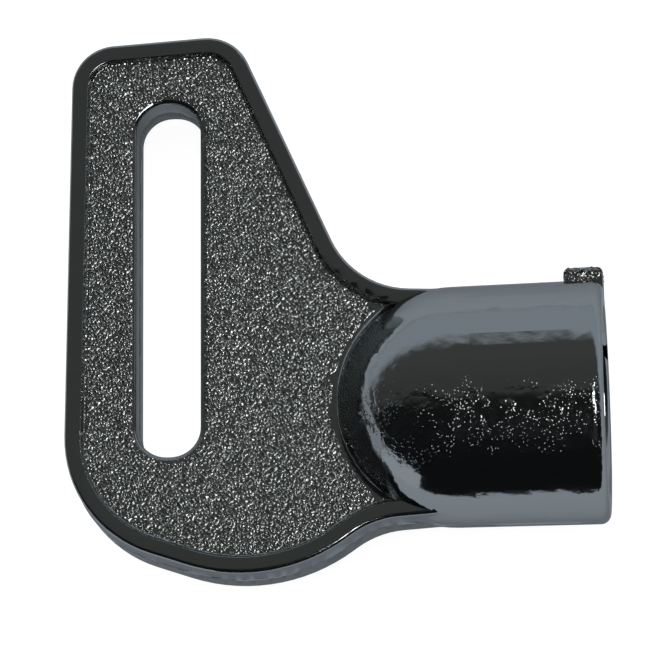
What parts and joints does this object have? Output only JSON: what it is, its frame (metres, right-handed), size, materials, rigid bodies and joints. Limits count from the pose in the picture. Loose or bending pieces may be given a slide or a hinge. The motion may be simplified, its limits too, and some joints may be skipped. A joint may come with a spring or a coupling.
{
  "type": "radiator bleed key",
  "caption": "Cast key with a flat flag-shaped bow, a key-ring slot and a round barrel holding a square socket for a radiator's bleed valve.",
  "frame": {"origin": "centre of the barrel's open mouth, on the barrel's axis", "axes": "+X along the barrel's axis, out of its mouth; +Y towards the tall side of the bow; +Z square to the bow's flat faces"},
  "size_m": [0.0269, 0.0275, 0.0122],
  "materials": {
    "cast_body": "plated zinc casting: bright rims and barrel, grained recesses",
    "socket_insert": "turned and broached steel"
  },
  "bodies": {
    "root": {"cast_body": "cast_body", "socket_insert": "socket_insert"}
  },
  "joints": []
}
